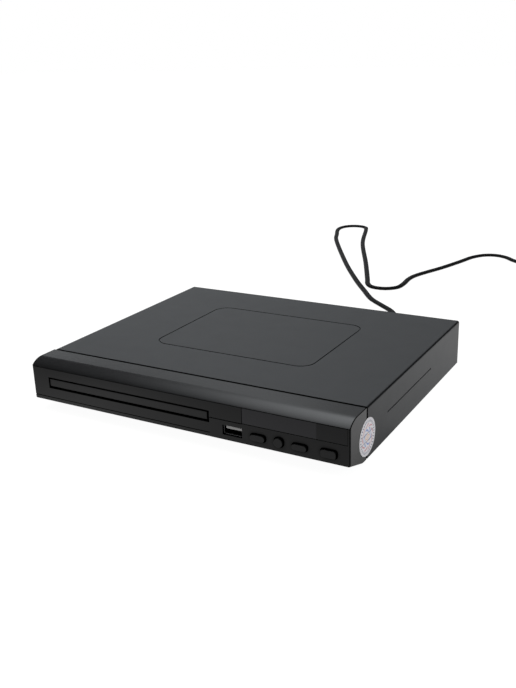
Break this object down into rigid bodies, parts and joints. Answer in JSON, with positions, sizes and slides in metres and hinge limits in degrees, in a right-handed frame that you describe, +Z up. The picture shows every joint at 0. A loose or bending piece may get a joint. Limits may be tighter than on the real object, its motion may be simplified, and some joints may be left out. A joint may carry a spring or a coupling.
{
  "type": "dvd player",
  "caption": "Slim tabletop disc player with a motor-driven tray, front buttons, USB socket, dark display window, rear sockets and a flat mains lead.",
  "frame": {"origin": "middle of the base under the feet, half-way between the buttons' front and the rear jacks' ends", "axes": "+X to the right seen from the front, +Y to the rear, +Z up"},
  "size_m": [0.3468, 0.6497, 0.037],
  "materials": {
    "cover_paint": "fine-textured black-grey paint",
    "front_plastic": "satin black moulding",
    "button_plastic": "satin black",
    "window_acrylic": "dark smoked acrylic",
    "tray_plastic": "black",
    "pan_steel": "zinc plated",
    "rear_paint": "black paint",
    "feet_rubber": "black",
    "seal_paper": "printed paper",
    "board_green": "solder mask",
    "board_tan": "phenolic paper",
    "switch_plastic": "light grey",
    "white_plastic": "white",
    "plated_steel": "nickel plated",
    "loader_plastic": "black",
    "bridge_steel": "zinc plated",
    "gear_plastic": "acetal",
    "brass_pulley": "moulded pulley",
    "belt_rubber": "black",
    "deck_steel": "dull grey",
    "motor_steel": "motor can",
    "rod_steel": "ground rod",
    "pickup_metal": "die cast",
    "lens_glass": "coated lens",
    "chip_plastic": "black epoxy",
    "tape_yellow": "taped winding",
    "capacitor_sleeve": "shrink sleeve",
    "black_plastic": "black",
    "jack_yellow": "yellow",
    "jack_white": "white",
    "jack_red": "red",
    "ribbon_plastic": "flat ribbon",
    "screw_black": "blackened",
    "screw_steel": "zinc plated",
    "cord_pvc": "black flexible PVC"
  },
  "bodies": {
    "cabinet": {"top_cover": "cover_paint", "front_panel": "front_plastic", "display_window": "window_acrylic", "chassis_pan": "pan_steel", "rear_panel": "rear_paint", "feet": "feet_rubber", "seal_sticker": "seal_paper", "front_board": "board_green", "tact_switches": "switch_plastic", "display_block": "white_plastic", "usb_shell": "plated_steel", "usb_tongue": "white_plastic", "loader_frame": "loader_plastic", "clamp_bridge": "bridge_steel", "loading_motor": "motor_steel", "drive_belt": "belt_rubber", "main_board": "board_green", "main_chips": "chip_plastic", "power_board": "board_tan", "power_transformer": "tape_yellow", "filter_capacitors": "capacitor_sleeve", "hdmi_shell": "plated_steel", "hdmi_tongue": "black_plastic", "jack_block": "black_plastic", "jack_sleeves": "plated_steel", "video_jack_core": "jack_yellow", "left_audio_core": "jack_white", "right_audio_core": "jack_red", "front_ribbon": "ribbon_plastic", "cover_screws": "screw_black", "board_screws": "screw_steel", "loader_screws": "screw_steel", "strain_relief": "cord_pvc", "power_cord": "cord_pvc", "cord_coil": "cord_pvc", "power_plug": "cord_pvc", "plug_pins": "plated_steel"},
    "tray": {"disc_tray": "tray_plastic", "tray_door": "button_plastic"},
    "eject_key": {"eject_button": "button_plastic"},
    "play_key": {"play_button": "button_plastic"},
    "stop_key": {"stop_button": "button_plastic"},
    "power_key": {"power_button": "button_plastic"},
    "tray_gear_body": {"tray_gear": "gear_plastic"},
    "pulley_gear_body": {"pulley_gear": "gear_plastic"},
    "motor_pulley_body": {"motor_pulley": "brass_pulley"},
    "cam_slider_body": {"cam_slider": "gear_plastic"},
    "traverse": {"traverse_deck": "deck_steel", "spindle_motor": "motor_steel", "guide_rods": "rod_steel", "sled_motor": "motor_steel"},
    "pickup": {"pickup_body": "pickup_metal", "pickup_lens": "lens_glass"},
    "turntable_body": {"turntable": "black_plastic"},
    "clamper_body": {"clamper": "white_plastic"},
    "sled_gear_body": {"sled_gear": "gear_plastic"},
    "sled_pinion_body": {"sled_pinion": "brass_pulley"}
  },
  "joints": [
    {"name": "tray_slide", "type": "slide", "parent": "cabinet", "child": "tray", "axis": [0, -1, 0], "range_m": [0, 0.125]},
    {"name": "tray_gear_spin", "type": "hinge", "parent": "cabinet", "child": "tray_gear_body", "pos_m": [0.0059, -0.0658, 0.0135], "axis": [0, 0, 1], "range_deg": [-1025, 0]},
    {"name": "pulley_gear_spin", "type": "hinge", "parent": "cabinet", "child": "pulley_gear_body", "pos_m": [-0.0117, -0.0658, 0.0135], "axis": [0, 0, 1], "range_deg": [0, 2730]},
    {"name": "motor_pulley_spin", "type": "hinge", "parent": "cabinet", "child": "motor_pulley_body", "pos_m": [-0.0511, -0.067, 0.0156], "axis": [0, 0, 1], "range_deg": [0, 7277]},
    {"name": "traverse_tilt", "type": "hinge", "parent": "cabinet", "child": "traverse", "pos_m": [-0.0411, 0.046, 0.01225], "axis": [1, 0, 0], "range_deg": [0, 2.5]},
    {"name": "cam_slide", "type": "slide", "parent": "cabinet", "child": "cam_slider_body", "axis": [1, 0, 0], "range_m": [0, 0.01001]},
    {"name": "turntable_spin", "type": "hinge", "parent": "traverse", "child": "turntable_body", "pos_m": [-0.0411, -0.036, 0.0225], "axis": [0, 0, 1], "continuous": true},
    {"name": "clamper_spin", "type": "hinge", "parent": "cabinet", "child": "clamper_body", "pos_m": [-0.0411, -0.036, 0.0275], "axis": [0, 0, 1], "continuous": true},
    {"name": "pickup_slide", "type": "slide", "parent": "traverse", "child": "pickup", "axis": [0, 1, 0], "range_m": [0, 0.034]},
    {"name": "sled_gear_spin", "type": "hinge", "parent": "traverse", "child": "sled_gear_body", "pos_m": [-0.0095, 0.008, 0.0165], "axis": [0, 0, 1], "range_deg": [-543, 0]},
    {"name": "sled_pinion_spin", "type": "hinge", "parent": "traverse", "child": "sled_pinion_body", "pos_m": [0.0025, 0.008, 0.0185], "axis": [0, 0, 1], "range_deg": [0, 1625]},
    {"name": "eject_press", "type": "slide", "parent": "cabinet", "child": "eject_key", "axis": [0, 1, 0], "range_m": [0, 0.0006], "stiffness_N_per_m": 1500},
    {"name": "play_press", "type": "slide", "parent": "cabinet", "child": "play_key", "axis": [0, 1, 0], "range_m": [0, 0.0006], "stiffness_N_per_m": 1500},
    {"name": "stop_press", "type": "slide", "parent": "cabinet", "child": "stop_key", "axis": [0, 1, 0], "range_m": [0, 0.0006], "stiffness_N_per_m": 1500},
    {"name": "power_press", "type": "slide", "parent": "cabinet", "child": "power_key", "axis": [0, 1, 0], "range_m": [0, 0.0006], "stiffness_N_per_m": 1500}
  ],
  "couplings": [
    {"joint": "tray_gear_spin", "follows": "tray_slide", "rad_per_m": -142.86},
    {"joint": "pulley_gear_spin", "follows": "tray_slide", "rad_per_m": 380.95},
    {"joint": "motor_pulley_spin", "follows": "tray_slide", "rad_per_m": 1015.9},
    {"joint": "cam_slide", "follows": "traverse_tilt", "m_per_rad": 0.22918},
    {"joint": "clamper_spin", "follows": "turntable_spin", "ratio": 1},
    {"joint": "sled_gear_spin", "follows": "pickup_slide", "rad_per_m": -277.78},
    {"joint": "sled_pinion_spin", "follows": "pickup_slide", "rad_per_m": 833.33}
  ]
}
